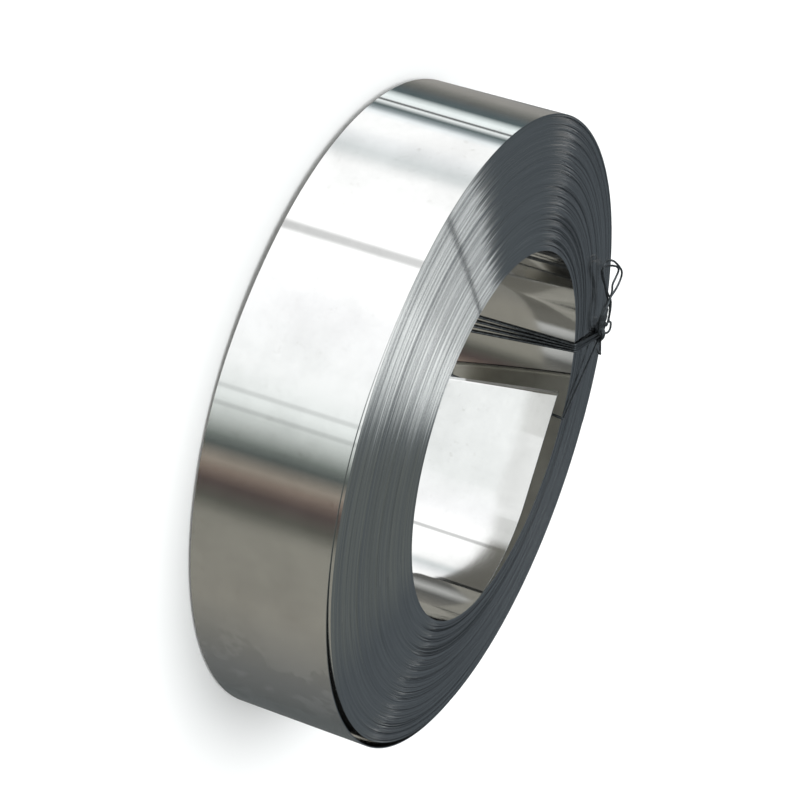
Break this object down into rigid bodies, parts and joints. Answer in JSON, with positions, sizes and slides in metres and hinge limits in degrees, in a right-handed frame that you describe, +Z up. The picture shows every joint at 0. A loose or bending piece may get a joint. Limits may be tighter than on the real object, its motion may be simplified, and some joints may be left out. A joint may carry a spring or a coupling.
{
  "type": "steel strip coil",
  "caption": "Narrow coil of bright cold-rolled steel strip standing on its end, with an open bore, a loose inner tail and a wire tie.",
  "frame": {"origin": "on the bore's axis, at the plane that the coil stands on", "axes": "+Z up along the bore axis, out of the end that carries the knot; the tie lies beside +X, and angles are counted from +X towards +Y"},
  "size_m": [0.5108, 0.5128, 0.1319],
  "materials": {
    "strip": "bright cold-rolled strip, mirror-like on its faces, fine turned lines on its ends",
    "wire": "dark annealed iron wire"
  },
  "bodies": {
    "root": {"strip_coil": "strip", "tie_wire": "wire"}
  },
  "joints": []
}
